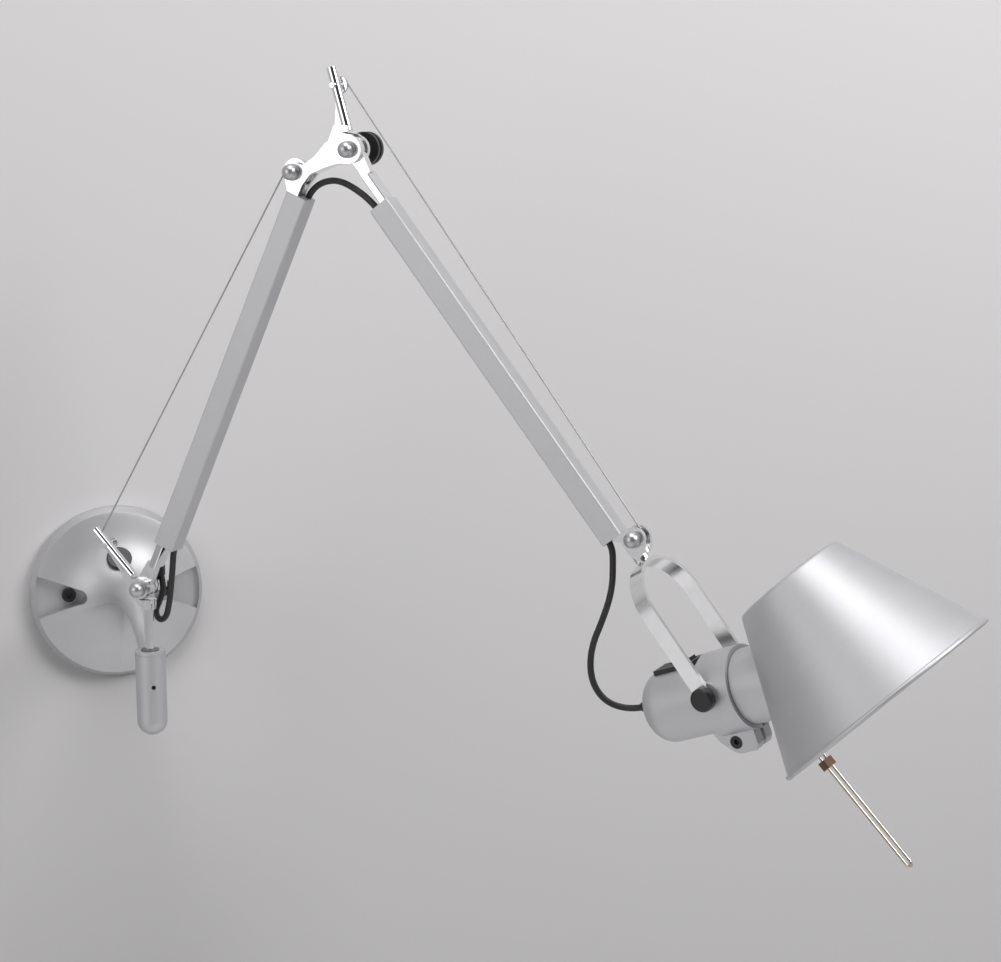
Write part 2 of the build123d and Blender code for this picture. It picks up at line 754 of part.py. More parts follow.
def head_fork():
    radius = fork_spread / 2
    outer = radius + band_thickness / 2
    inner = radius - band_thickness / 2
    across = (Align.CENTER, Align.CENTER, Align.CENTER)
    ring = Pos(0, 0, radius) * Rot(90, 0, 0) * (
        Cylinder(outer, band_width, align=across) - Cylinder(inner, band_width, align=across))
    ring &= Pos(0, 0, -10) * Box(100, 20, 10 + radius, align=low)
    shape = ring
    for side in (-1, 1):
        prong = Box(band_thickness, band_width, fork_length - radius, align=low)
        prong = Pos(side * radius, 0, radius) * prong
        eye = Rot(0, 90, 0) * Cylinder(band_width / 2, band_thickness, align=across)
        eye = Pos(side * radius, 0, fork_length) * eye
        shape += prong + eye
    stem_top = stem_length + running_gap + stem_ring_height
    shape += Pos(0, 0, -stem_top) * Cylinder(stem_radius, stem_top, align=low)
    hole = Pos(0, 0, fork_length) * Rot(0, 90, 0) * Cylinder(tilt_pin_radius, 100, align=across)
    return fork_plane() * (shape - hole)


def stem_ring():
    """Ring on the top of the stem that holds the fork in the hub."""
    body = Cylinder(stem_ring_radius, stem_ring_height, align=low) - Cylinder(
        stem_radius, stem_ring_height, align=low)
    return fork_plane() * Pos(0, 0, -stem_length - running_gap - stem_ring_height) * body


def tilt_bar(radius, x_from, x_to):
    """Bar along the tilt axis, in the head frame."""
    return bar((x_from, tilt_axis_y, tilt_axis_z), (x_to, tilt_axis_y, tilt_axis_z), radius)


def tilt_pins():
    shape = []
    for side in (-1, 1):
        inner_x = side * (boss_end - 6)
        outer_x = side * (fork_spread / 2 + band_thickness / 2 + 2.5)
        shape.append(head_plane * tilt_bar(tilt_pin_radius, inner_x, outer_x))
    return Compound(shape)


def fork_caps():
    shape = []
    for side in (-1, 1):
        near = side * (fork_spread / 2 + band_thickness / 2)
        plane = Plane(origin=(near, tilt_axis_y, tilt_axis_z), z_dir=(side, 0, 0))
        cap = Cylinder(fork_cap_radius, fork_cap_thickness, align=low)
        cap = fillet(cap.edges().group_by(Axis.Z)[-1], 1.6)
        cap -= Cylinder(tilt_pin_radius, 2.5, align=low)
        shape.append(head_plane * (plane * cap))
    return Compound(shape)


# ---------------------------------------------------------------- head


def about_neck(profile):
    """Solid turned about the neck axis, from (radius, y) points."""
    return revolve(make_face(Polyline(*profile, close=True)), Axis.Y)


def neck_bar(radius, y_from, y_to):
    return bar((0, y_from, 0), (0, y_to, 0), radius)


def switch_cut(margin):
    y_mid = (switch_rear + switch_front) / 2
    size = switch_front - switch_rear - 2 * margin
    return Pos(0, y_mid, -12) * Box(2 * (switch_half - margin), size, 20, align=hanging)


def rear_housing():
    outer = neck_bar(housing_radius, housing_rear, housing_front)
    outer = fillet(outer.edges().group_by(Axis.Y)[0], housing_rounding)
    inner = neck_bar(neck_sleeve_radius + running_gap, housing_rear + housing_wall + 1, housing_front + 1)
    inner = fillet(inner.edges().group_by(Axis.Y)[0], housing_rounding - 1.6)
    shape = outer - inner
    shape -= switch_cut(1.0)
    shape -= bar((0, housing_rear - 1, gland_z), (0, housing_rear + 5, gland_z), 3.0)
    for side in (-1, 1):
        shape -= tilt_bar(tilt_pin_radius + running_gap, side * 10, side * 30)
    return head_plane * shape


def clamp_bar(radius, x_from, x_to):
    """Bar along the clamp screw, in the head frame."""
    return bar((x_from, clamp_screw_y, clamp_screw_z), (x_to, clamp_screw_y, clamp_screw_z), radius)


def clamp_ring():
    shape = neck_bar(clamp_radius, clamp_rear, clamp_front)
    lug = [(-16.0, 19.0), (-13.0, 25.5), (-6.0, lug_bottom - 1.5), (-3.0, lug_bottom), (7.5, lug_bottom),
           (9.5, lug_bottom - 3), (10.0, 19.0)]
    edge = Polyline(*[(-lug_half, y, z) for y, z in lug], close=True)
    shape += extrude(make_face(edge), amount=2 * lug_half, dir=(1, 0, 0))
    shape += tilt_bar(boss_radius, -boss_end, boss_end)
    shape -= neck_bar(housing_radius, -30, housing_front)
    shape -= neck_bar(neck_sleeve_radius + 0.5, housing_front - 1, clamp_front + 1)
    shape -= Pos(0, -3, 19) * Box(2 * lug_slot_half, 60, 40, align=low)
    shape -= clamp_bar(clamp_screw_radius, -lug_half - 1, lug_half + 1)
    shape -= clamp_bar(clamp_screw_head + 0.2, -lug_half - 1, -lug_half + 3)
    shape -= tilt_bar(tilt_pin_radius + running_gap, -30, 30)
    return head_plane * shape


def clamp_screw():
    head_end = -lug_half + 3
    shank = clamp_bar(clamp_screw_radius, head_end, lug_half - 0.5)
    head = clamp_bar(clamp_screw_head, -lug_half + 0.4, head_end)
    recess_plane = Plane(origin=(-lug_half + 0.4, clamp_screw_y, clamp_screw_z), z_dir=(1, 0, 0))
    recess = recess_plane * extrude(RegularPolygon(1.7, 6), 1.8)
    return head_plane * (shank + head - recess)


def switch_frame():
    y_mid = (switch_rear + switch_front) / 2
    size = switch_front - switch_rear
    lip = Pos(0, y_mid, -19.2) * Box(2 * switch_half, size, 3.4, align=hanging)
    body = Pos(0, y_mid, -14.8) * Box(2 * switch_half - 2.1, size - 2.1, 7.2, align=hanging)
    shape = lip - neck_bar(housing_radius, switch_rear - 5, switch_front + 5)
    shape += body
    well = Pos(0, y_mid, -15.8) * Box(2 * rocker_half + 0.5, rocker_length + 0.8, 20, align=hanging)
    shape -= well
    shape -= bar((-6.0, y_mid, -18.4), (6.0, y_mid, -18.4), 1.0)
    return head_plane * shape


def switch_rocker():
    """Rocker with a hollow top and raised ends."""
    y_mid = (switch_rear + switch_front) / 2
    half = rocker_length / 2
    side = [(y_mid - half, -22.9), (y_mid - half * 0.5, -21.5), (y_mid, -21.0), (y_mid + half * 0.5, -21.7),
            (y_mid + half - 1.0, -24.2), (y_mid + half, -19.5), (y_mid + 3, -16.6), (y_mid - 3, -16.6),
            (y_mid - half, -19.5)]
    edge = Polyline(*[(-rocker_half, y, z) for y, z in side], close=True)
    shape = extrude(make_face(edge), amount=2 * rocker_half, dir=(1, 0, 0))
    shape += bar((-5.9, y_mid, -18.4), (5.9, y_mid, -18.4), 0.95)
    return head_plane * shape


def cable_gland():
    body = bar((0, housing_rear + 4, gland_z), (0, housing_rear, gland_z), 2.9)
    body += bar((0, housing_rear, gland_z), (0, housing_rear - 2.2, gland_z), gland_radius)
    boot = Plane(origin=(0, housing_rear - 2.2, gland_z), z_dir=(0, -1, 0)) * Cone(
        4.0, gland_tip_radius, gland_length - 2.2, align=low)
    return head_plane * (body + boot)


def lampholder():
    holder = neck_bar(13.5, -30, 6) + neck_bar(10.0, 6, 10)
    holder += neck_bar(neck_sleeve_radius + running_gap, -12, -9)
    holder -= neck_bar(7.2, -6, 12)
    return head_plane * holder


def lamp():
    cap = neck_bar(7.0, -5.8, 19.0)
    glass = about_neck([(0, 19.0), (7.0, 19.0), (11.0, 27.0), (15.5, 36.0), (17.0, 44.0), (16.0, 52.0), (11.5, 62.0),
                        (5.0, 69.0), (0, 71.0)])
    return head_plane * (cap + glass)


def shade_plane():
    lean = radians(shade_lean)
    origin = point_in(head_plane, 0, shade_on_neck, 0)
    down = point_in(head_plane, 0, cos(lean), sin(lean)) - head_plane.origin
    return Plane(origin=origin, x_dir=head_plane.x_dir, z_dir=down)


def shade_cone(inset, extra=0.0):
    small = shade_small_radius - inset * 1.09
    large = shade_rim_radius - inset * 1.09
    top = shade_small_z + inset
    slope = (shade_rim_radius - shade_small_radius) / (shade_rim_z - shade_small_z)
    height = shade_rim_z + extra - top
    cone = Pos(0, 0, top) * Cone(small + inset * slope, large + extra * slope, height, align=low)
    return fillet(cone.edges().group_by(Axis.Z)[0], shade_corner - inset)


def in_shade(shape):
    return shade_plane() * shape


def shade():
    shell = in_shade(shade_cone(0)) - in_shade(shade_cone(shade_wall, 2.0))
    shell += in_shade(Pos(0, 0, shade_rim_z - 0.3) * Torus(shade_rim_radius - 0.6, bead_radius))
    return shell - head_plane * neck_bar(neck_inner_radius, sleeve_rear, shade_on_neck)


def shade_neck():
    tube = neck_bar(neck_radius, neck_rear, 50) + neck_bar(neck_sleeve_radius, sleeve_rear, neck_rear + 1)
    tube += neck_bar(neck_lip_radius, 26.2, 50)
    tube -= neck_bar(neck_inner_radius, sleeve_rear - 1, 60)
    tube = head_plane * tube
    keep = head_plane * Pos(0, 20, 0) * Box(60, 60, 60)
    return (tube & keep) - in_shade(shade_cone(0))


def hairpin_handle():
    """Bent wire handle, its two ends in a bracket on the inside of the shade."""
    bend_z = hairpin_end - hairpin_half - hairpin_wire_radius
    path = Line((-hairpin_half, hairpin_y, hairpin_top), (-hairpin_half, hairpin_y, bend_z))
    path += ThreePointArc((-hairpin_half, hairpin_y, bend_z), (0, hairpin_y, bend_z + hairpin_half),
                          (hairpin_half, hairpin_y, bend_z))
    path += Line((hairpin_half, hairpin_y, bend_z), (hairpin_half, hairpin_y, hairpin_top))
    section = Pos(-hairpin_half, hairpin_y, hairpin_top) * Circle(hairpin_wire_radius)
    return in_shade(sweep(section, path=path))


def hairpin_block():
    body = Pos(0, hairpin_y, 31.2) * Box(9.0, 4.4, 5.2, align=low)
    return in_shade(body) - hairpin_handle()


def hairpin_bracket():
    body = Pos(0, hairpin_y - 3.5, -5.0) * Box(10.0, 11.0, 10.0, align=low)
    body = in_shade(body) & in_shade(shade_cone(shade_wall))
    return body - hairpin_handle()


# ---------------------------------------------------------------- leads

def gland_point(out):
    """Point in line with the gland, a distance outside its tip, in the arm frame."""
    tip = point_in(head_plane, 0, housing_rear - gland_length - out, gland_z)
    return (arm_place.inverse() * Pos(tip)).position


lower_lead_end = tube_length(lower_tube_start, lower_tube_end)
upper_lead_end = tube_length(upper_tube_start, upper_tube_end)
base_lead_points = [
    lower_lead_point(lead_hold), lower_lead_point(-2.6),
    (15.6, 4.2, 41.5), (13.0, 5.9, 29.0), (10.0, 7.8, 16.5), (6.6, 9.4, 7.6), (0.6, 11.0, 5.0),
    (-2.6, 11.6, 10.4), (1.6, 11.0, 18.0), (5.5, 10.5, 27.0), (2.6, 10.2, 37.2),
]
elbow_lead_points = [
    lower_lead_point(lower_lead_end - lead_hold), lower_lead_point(lower_lead_end + 3.2),
    (124.5, 2.2, 275.0), (136.0, 0.6, 276.6), (148.5, -1.4, 271.6),
    upper_lead_point(-3.2), upper_lead_point(lead_hold),
]
head_lead_points = [
    upper_lead_point(upper_lead_end - lead_hold), upper_lead_point(upper_lead_end + 2.8),
    (305.0, -1.2, 62.0), (303.5, 1.0, 47.0), (298.0, 2.6, 31.0), (289.5, 3.8, 12.0),
    (288.4, 5.0, -5.0), (293.4, 7.6, -17.0), (301.8, 10.2, -22.8), gland_point(5.2), gland_point(0),
]
head_lead_split = 5


def middle(first, second):
    return (Vector(*first) + Vector(*second)) * 0.5


def arm_lead(points):
    return arm_place * sweep_lead(points, lead_radius)


# ---------------------------------------------------------------- parts

in_arm = {
    "swivel_pin": swivel_pin(),
    "swivel_bracket": swivel_bracket(),
    "lower_lever_rod": lower_lever(),
    "lower_anchor_pin": anchor_pin(lower_anchor),
    "lower_pivot_bolt": lower_bolt(),
    "lower_pivot_nut": lower_nut(),
    "cable_hood": cable_hood(),
    "lower_tongue": lower_tongue(),
    "lower_foot_bar": lower_foot_bar(),
    "lower_tube": arm_tube(lower_tube_start, lower_tube_end),
    "lower_end_caps": end_caps(lower_tube_start, lower_tube_end, lower_lead_side,
                               [lower_foot_bar(), lower_rope_way()]),
    "lower_spring": tube_spring(lower_tube_start, lower_tube_end),
    "lower_tube_lead": lower_tube_lead(),
    "lower_rope": rope(lower_rope_start, lower_rope_top()) - lower_lever(solid=True),
    "lower_rope_inner": lower_rope_inner(),
    "elbow_casting": elbow_casting(),
    "lower_pulley": pulley(lower_pulley_centre, lower_pulley_radius),
    "lower_pulley_pin": pulley_pin(lower_pulley_centre),
    "upper_lever_rod": upper_lever(),
    "upper_anchor_pin": anchor_pin(upper_anchor) + rope_disc(),
    "elbow_bolt": elbow_bolt(),
    "elbow_knob": elbow_knob(),
    "upper_tongue": upper_tongue(),
    "upper_foot_bar": upper_foot_bar(),
    "upper_tube": arm_tube(upper_tube_start, upper_tube_end),
    "upper_end_caps": end_caps(upper_tube_start, upper_tube_end, upper_lead_side,
                               [upper_foot_bar(), upper_rope_way()]),
    "upper_spring": tube_spring(upper_tube_start, upper_tube_end),
    "upper_tube_lead": upper_tube_lead(),
    "upper_rope": rope(upper_rope_start, upper_rope_bottom(), rope_disc_y),
    "upper_rope_inner": upper_rope_inner(),
    "end_fitting": end_fitting(),
    "upper_pulley": pulley(upper_pulley_centre, upper_pulley_radius),
    "upper_pulley_pin": pulley_pin(upper_pulley_centre),
}
parts = {name: arm_place * shape for name, shape in in_arm.items()}
parts["wall_casting"] = wall_casting()
parts["wall_screws"] = wall_screws()
parts["cover_plug"] = cover_plug()
parts["socket_bush"] = socket_bush()
parts["socket_set_screw"] = set_screw()
parts["terminal_block"] = terminal_block()
head_lead_middle = middle(head_lead_points[head_lead_split - 1], head_lead_points[head_lead_split])
parts["base_lead"] = arm_lead(base_lead_points)
parts["elbow_lead"] = arm_lead(elbow_lead_points)
parts["head_lead_upper"] = arm_lead(head_lead_points[:head_lead_split] + [head_lead_middle])
parts["head_lead_lower"] = arm_lead([head_lead_middle] + head_lead_points[head_lead_split:])
parts["head_fork"] = head_fork()
parts["stem_ring"] = stem_ring()
parts["tilt_pins"] = tilt_pins()
parts["fork_caps"] = fork_caps()
parts["rear_housing"] = rear_housing()
parts["clamp_ring"] = clamp_ring()
parts["clamp_screw"] = clamp_screw()
parts["switch_frame"] = switch_frame()
parts["switch_rocker"] = switch_rocker()
parts["cable_gland"] = cable_gland()
parts["lampholder"] = lampholder()
parts["lamp"] = lamp()
parts["shade"] = shade()
parts["shade_neck"] = shade_neck()
parts["hairpin_handle"] = hairpin_handle()
parts["hairpin_block"] = hairpin_block()
parts["hairpin_bracket"] = hairpin_bracket()

for name, shape in parts.items():
    box = shape.bounding_box()
    print(f"{name:20s} {shape.volume:10.1f} {len(shape.solids())} "
          f"{box.min.X:.1f} {box.min.Y:.1f} {box.min.Z:.1f} / {box.max.X:.1f} {box.max.Y:.1f} {box.max.Z:.1f}")
    export_step(shape, f"parts/{name}.step")
for points in (base_lead_points, elbow_lead_points, head_lead_points):
    print("lead bend radii", [round(radius, 1) for radius in bend_radii(points)])
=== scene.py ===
import json
import math
import bpy
from mathutils import Matrix, Vector


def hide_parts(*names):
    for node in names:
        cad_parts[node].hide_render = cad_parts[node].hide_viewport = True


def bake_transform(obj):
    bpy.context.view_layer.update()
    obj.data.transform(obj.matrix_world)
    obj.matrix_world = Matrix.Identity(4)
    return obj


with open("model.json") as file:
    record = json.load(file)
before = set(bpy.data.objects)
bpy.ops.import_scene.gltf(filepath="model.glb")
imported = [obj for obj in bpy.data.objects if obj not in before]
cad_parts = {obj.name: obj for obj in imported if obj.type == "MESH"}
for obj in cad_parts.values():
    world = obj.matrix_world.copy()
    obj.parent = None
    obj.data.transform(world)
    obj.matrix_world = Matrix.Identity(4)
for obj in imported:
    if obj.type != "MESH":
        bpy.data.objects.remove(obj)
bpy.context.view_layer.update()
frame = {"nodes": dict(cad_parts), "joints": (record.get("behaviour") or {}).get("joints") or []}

scene = bpy.context.scene
nodes = frame["nodes"]
bpy.ops.object.select_all(action="DESELECT")
print("frame loaded:", len(nodes), "solids")


# camera, placed by the perspective of the photo

cameraView = {
    "place": (-0.22568, -1.59809, 0.31935),
    "yaw": 17.14,            # degrees towards +X
    "down": 8.86,
    "roll": -0.67,
    "focalPixels": 2426.23,
    "middle": (496.5, 480.96),
    "picture": (1001, 962),
}


def makeCamera(view):
    yaw, down, roll = (math.radians(view[k]) for k in ("yaw", "down", "roll"))
    ahead = Vector((math.sin(yaw) * math.cos(down), math.cos(yaw) * math.cos(down), -math.sin(down)))
    right = Vector((math.cos(yaw), -math.sin(yaw), 0))
    up = right.cross(ahead)
    sideways = right * math.cos(roll) + up * math.sin(roll)
    upwards = up * math.cos(roll) - right * math.sin(roll)
    turn = Matrix((sideways, upwards, -ahead)).transposed()
    lens = bpy.data.cameras.new("photoCamera")
    wide, high = view["picture"]
    lens.sensor_width = 36
    lens.lens = view["focalPixels"] * 36 / wide
    lens.shift_x = (wide / 2 - view["middle"][0]) / wide
    lens.shift_y = (view["middle"][1] - high / 2) / wide
    camera = bpy.data.objects.new("photoCamera", lens)
    scene.collection.objects.link(camera)
    camera.matrix_world = Matrix.Translation(view["place"]) @ turn.to_4x4()
    scene.camera = camera


makeCamera(cameraView)


# the arms lie in one upright plane through the swivel pin

armPlane = {"reach": 0.13773, "turn": 40.42}     # metres out from the wall, degrees towards the room
armTurn = Matrix.Rotation(math.radians(-armPlane["turn"]), 4, "Z")
armFrame = Matrix.Translation((0, -armPlane["reach"], 0)) @ armTurn


def inArms(point):                        # millimetres in the arms' plane to metres in the room
    return armFrame @ (Vector(point) / 1000)


# the shade's axis leans from the axis that the shade turns about

shadeLean = {"out": 0.0796, "degrees": 67.9}     # metres along the head to the shade's middle
joints = {joint["name"]: joint for joint in frame["joints"]}


def makeShadeFrame(lean, turning, tilting):
    ahead = Vector(turning["axis"]).normalized()
    sideways = Vector(tilting["axis"]).normalized()
    turn = Matrix((sideways, ahead, sideways.cross(ahead))).transposed().to_4x4()
    leant = Matrix.Rotation(math.radians(lean["degrees"] - 90), 4, "X")
    return Matrix.Translation(turning["pos_m"]) @ turn @ Matrix.Translation((0, lean["out"], 0)) @ leant


shadeFrame = makeShadeFrame(shadeLean, joints["shade_turn"], joints["head_tilt"])


# leads: black, 3.8 mm, each one crosses a joint

leadLook = {"thick": 0.0038, "round": 4, "steps": 10}
leads = {
    "baseLead": {
        "node": "base_lead", "bodies": ("swivel", "lower_arm"), "length": 0.0908,
        "bend": ((4.2, 10.4, 20.0), (17.0, 3.1, 48.0)),
        "points": [
            (19.47, 3.1, 56.64), (17.14, 3.1, 51.55), (15.6, 4.2, 41.5), (13.0, 5.9, 29.0), (10.0, 7.8, 16.5),
            (6.6, 9.4, 7.6), (0.6, 11.0, 5.0), (-2.6, 11.6, 10.4), (1.6, 11.0, 18.0), (5.5, 10.5, 27.0),
            (2.6, 10.2, 37.2),
        ],
    },
    "elbowLead": {
        "node": "elbow_lead", "bodies": ("lower_arm", "upper_arm"), "length": 0.0614,
        "bend": ((118.0, 3.1, 270.0), (160.0, -3.1, 264.0)),
        "points": [
            (114.07, 3.1, 263.48), (116.65, 3.1, 269.12), (124.5, 2.2, 275.0), (136.0, 0.6, 276.6),
            (148.5, -1.4, 271.6), (160.5, -3.1, 263.27), (164.25, -3.1, 258.34),
        ],
    },
    "headLeadUpper": {
        "node": "head_lead_upper", "bodies": ("upper_arm", "fork"), "length": 0.0589,
        "bend": ((305.3, -3.1, 72.8), (293.7, 3.2, 21.5)),
        "points": [
            (301.82, -3.1, 77.41), (305.33, -3.1, 72.79), (305.0, -1.2, 62.0), (303.5, 1.0, 47.0),
            (298.0, 2.6, 31.0), (293.75, 3.2, 21.5),
        ],
    },
    "headLeadLower": {
        "node": "head_lead_lower", "bodies": ("fork", "head"), "length": 0.0667,
        "bend": ((293.7, 3.2, 21.5), (308.0, 11.9, -24.6)),
        "points": [
            (293.75, 3.2, 21.5), (289.5, 3.8, 12.0), (288.4, 5.0, -5.0), (293.4, 7.6, -17.0),
            (301.8, 10.2, -22.8), (313.15, 11.88, -23.66), (317.96, 10.92, -21.93),
        ],
    },
}


def makeLead(name, lead):
    line = bpy.data.curves.new(name, "CURVE")
    line.dimensions = "3D"
    run = line.splines.new("NURBS")
    run.points.add(len(lead["points"]) - 1)
    for spot, point in zip(run.points, lead["points"]):
        spot.co = (*inArms(point), 1)
    run.order_u = 3
    run.use_endpoint_u = True
    run.resolution_u = leadLook["steps"]
    piece = bpy.data.objects.new(name, line)
    scene.collection.objects.link(piece)
    middleLine = bpy.data.meshes.new_from_object(piece)
    path = [vertex.co.copy() for vertex in middleLine.vertices]
    bpy.data.meshes.remove(middleLine)
    line.bevel_depth = leadLook["thick"] / 2
    line.bevel_resolution = leadLook["round"]
    line.use_fill_caps = True
    piece.select_set(True)
    bpy.context.view_layer.objects.active = piece
    bpy.ops.object.convert(target="MESH")
    bpy.ops.object.shade_smooth()
    piece.select_set(False)
    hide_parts(lead["node"])
    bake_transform(piece)
    long = sum((b - a).length for a, b in zip(path, path[1:]))
    print("lead", name, round(long, 4), "m")
    return piece


leadPieces = [makeLead(name, lead) for name, lead in leads.items()]


# the two pull ropes, straight and taut, with a ring of points at each end only

ropes = {
    "lowerRope": {
        "node": "lower_rope", "bodies": ("swivel", "lower_arm"), "thick": 0.001,
        "ends": ((-32.91, 0, 58.39), (103.47, 0, 283.44)),
    },
    "upperRope": {
        "node": "upper_rope", "bodies": ("lower_arm", "upper_arm"), "thick": 0.001,
        "ends": ((139.94, 5.4, 332.97), (322.65, 0, 80.75)),
    },
}


def makeRope(name, rope):
    start, end = (inArms(point) for point in rope["ends"])
    line = bpy.data.curves.new(name, "CURVE")
    line.dimensions = "3D"
    run = line.splines.new("POLY")
    run.points.add(1)
    run.points[0].co = (*start, 1)
    run.points[1].co = (*end, 1)
    line.bevel_depth = rope["thick"] / 2
    line.bevel_resolution = 3
    line.use_fill_caps = True
    piece = bpy.data.objects.new(name, line)
    scene.collection.objects.link(piece)
    piece.select_set(True)
    bpy.context.view_layer.objects.active = piece
    bpy.ops.object.convert(target="MESH")
    bpy.ops.object.shade_smooth()
    piece.select_set(False)
    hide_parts(rope["node"])
    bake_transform(piece)
    print("rope", name, round((end - start).length, 4), "m")
    return piece


ropePieces = [makeRope(name, rope) for name, rope in ropes.items()]


# shader sockets that read as maths

class Wire:
    def __init__(self, recipe, socket):
        self.recipe = recipe
        self.socket = socket

    def calc(self, operation, *values):
        return self.recipe.node("ShaderNodeMath", {"operation": operation}, dict(enumerate(values)))

    def __add__(self, other):
        return self.calc("ADD", self, other)

    def __radd__(self, other):
        return self.calc("ADD", other, self)

    def __sub__(self, other):
        return self.calc("SUBTRACT", self, other)

    def __rsub__(self, other):
        return self.calc("SUBTRACT", other, self)

    def __mul__(self, other):
        return self.calc("MULTIPLY", self, other)

    def __rmul__(self, other):
        return self.calc("MULTIPLY", other, self)

    def angle(self, other):
        return self.calc("ARCTAN2", self, other)


# nodes of one material or of the world

class Recipe:
    def __init__(self, holder):
        self.holder = holder
        holder.use_nodes = True
        self.tree = holder.node_tree
        self.shader = self.tree.nodes.get("Principled BSDF") or self.tree.nodes["Background"]

    def put(self, socket, value):
        if isinstance(value, Wire):
            self.tree.links.new(value.socket, socket)
        else:
            socket.default_value = value

    def node(self, kind, settings, values, out=0):
        made = self.tree.nodes.new(kind)
        for key, value in settings.items():
            if key == "stops":
                ramp = made.color_ramp.elements
                while len(ramp) < len(value):
                    ramp.new(0.5)
                for stop, (place, colour) in zip(ramp, value):
                    stop.position = place
                    stop.color = colour
            else:
                setattr(made, key, value)
        for key, value in values.items():
            self.put(made.inputs[key], value)
        return Wire(self, made.outputs[out])

    def place(self, centre=(0, 0, 0), turn=(0, 0, 0)):
        spot = self.node("ShaderNodeTexCoord", {}, {}, "Object")
        return self.node("ShaderNodeMapping", {"vector_type": "TEXTURE"},
                         {"Vector": spot, "Location": centre, "Rotation": turn})

    def split(self, vector):
        made = self.node("ShaderNodeSeparateXYZ", {}, {"Vector": vector})
        outs = made.socket.node.outputs
        return [Wire(self, outs[axis]) for axis in ("X", "Y", "Z")]

    def join(self, x, y, z):
        return self.node("ShaderNodeCombineXYZ", {}, {"X": x, "Y": y, "Z": z})

    def noise(self, vector, scale, detail=2, rough=0.5):
        return self.node("ShaderNodeTexNoise", {},
                         {"Vector": vector, "Scale": scale, "Detail": detail, "Roughness": rough})

    def between(self, share, first, second):
        return self.node("ShaderNodeMix", {"data_type": "RGBA"},
                         {"Factor": share, 6: (*first, 1), 7: (*second, 1)}, 2)

    def tint(self, share, stops):
        return self.node("ShaderNodeValToRGB", {"stops": stops}, {"Fac": share})

    def bumps(self, height, strength, distance):
        return self.node("ShaderNodeBump", {}, {"Height": height, "Strength": strength, "Distance": distance})

    def finish(self, **values):
        for key, value in values.items():
            self.put(self.shader.inputs[key.replace("_", " ")], value)
        return self.holder


# finishes: colours are linear, scales are per metre, depths are in metres

polishDepth = 0.0004
plasticDepth = 0.0002
plasticCloud = 60


# painted or blasted metal
def satinSilver(look):
    r = Recipe(bpy.data.materials.new(look["name"]))
    spot = r.place()
    cloud = r.noise(spot, look["cloudScale"], 3)
    grain = r.noise(spot, look["grainScale"], 2, 0.6)
    colour = r.between(cloud, look["dark"], look["light"])
    gloss = look["gloss"] + (cloud - 0.5) * look["glossSpread"] + (grain - 0.5) * look["sparkle"]
    return r.finish(Base_Color=colour, Metallic=look["metal"], Roughness=gloss,
                    Normal=r.bumps(grain, look["grain"], look["deep"]))


# satin metal with faint rings about an axis
def spunSilver(look):
    r = Recipe(bpy.data.materials.new(look["name"]))
    spot = r.place(look["centre"], look["turn"])
    x, y, z = r.split(spot)
    around = y.angle(x)
    rings = r.noise(r.join(around * look["drift"], z * look["ringsPerMetre"], 0), 1.0, 4, 0.65)
    cloud = r.noise(spot, look["cloudScale"], 3)
    grain = r.noise(spot, look["grainScale"], 2, 0.6)
    colour = r.between(cloud * 0.5 + rings * 0.5, look["dark"], look["light"])
    gloss = look["gloss"] + (rings - 0.5) * look["glossSpread"] + (grain - 0.5) * look["sparkle"]
    return r.finish(Base_Color=colour, Metallic=look["metal"], Roughness=gloss,
                    Normal=r.bumps(grain + rings * look["ringDepth"], look["grain"], look["deep"]))


def polishedMetal(look):
    r = Recipe(bpy.data.materials.new(look["name"]))
    spot = r.place()
    cloud = r.noise(spot, look["cloudScale"], 3)
    fine = r.noise(spot, look["fineScale"], 2)
    colour = r.between(cloud, look["dark"], look["light"])
    gloss = look["gloss"] + (fine - 0.4) * look["glossSpread"]
    return r.finish(Base_Color=colour, Metallic=1.0, Roughness=gloss,
                    Normal=r.bumps(cloud, look["wave"], polishDepth))


def mouldedPlastic(look):
    r = Recipe(bpy.data.materials.new(look["name"]))
    spot = r.place()
    grain = r.noise(spot, look["grainScale"], 2)
    cloud = r.noise(spot, plasticCloud, 2)
    colour = r.between(cloud, look["dark"], look["light"])
    gloss = look["gloss"] + (grain - 0.5) * look["glossSpread"]
    return r.finish(Base_Color=colour, Roughness=gloss, Normal=r.bumps(grain, look["grain"], plasticDepth))


